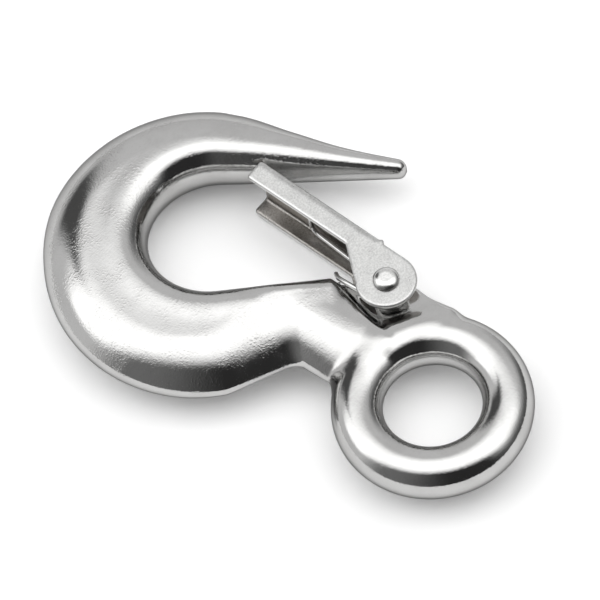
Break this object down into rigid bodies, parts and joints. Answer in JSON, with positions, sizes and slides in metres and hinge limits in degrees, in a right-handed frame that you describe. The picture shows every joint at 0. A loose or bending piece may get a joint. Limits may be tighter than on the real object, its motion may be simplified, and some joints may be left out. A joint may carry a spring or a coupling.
{
  "type": "eye hook with latch",
  "caption": "Lifting eye hook: forged bowl and point below a round eye, with a sprung sheet latch hinged on a lug of the shank that closes the throat.",
  "frame": {"origin": "centre of the eye, in the mid-plane of the hook", "axes": "+Y from the bowl to the eye along the line of pull, -X towards the point and the latch, +Z square to the hook along the eye's and the hinge's axes"},
  "size_m": [0.0736, 0.1119, 0.0163],
  "materials": {
    "polished_steel": "mirror-polished stainless forging with fine scratches",
    "satin_sheet": "satin stainless sheet",
    "rivet_steel": "tumbled stainless rivet",
    "spring_wire": "drawn stainless spring wire"
  },
  "bodies": {
    "root": {"hook_body": "polished_steel", "rivet": "rivet_steel", "spring": "spring_wire"},
    "latch": {"latch": "satin_sheet"}
  },
  "joints": [
    {"name": "latch_hinge", "type": "hinge", "parent": "root", "child": "latch", "pos_m": [-0.0122, -0.0229, 0], "axis": [0, 0, 1], "range_deg": [0, 42], "stiffness_Nm_per_rad": 0.05, "springref_deg": -34.38, "deforming": ["spring"]}
  ]
}
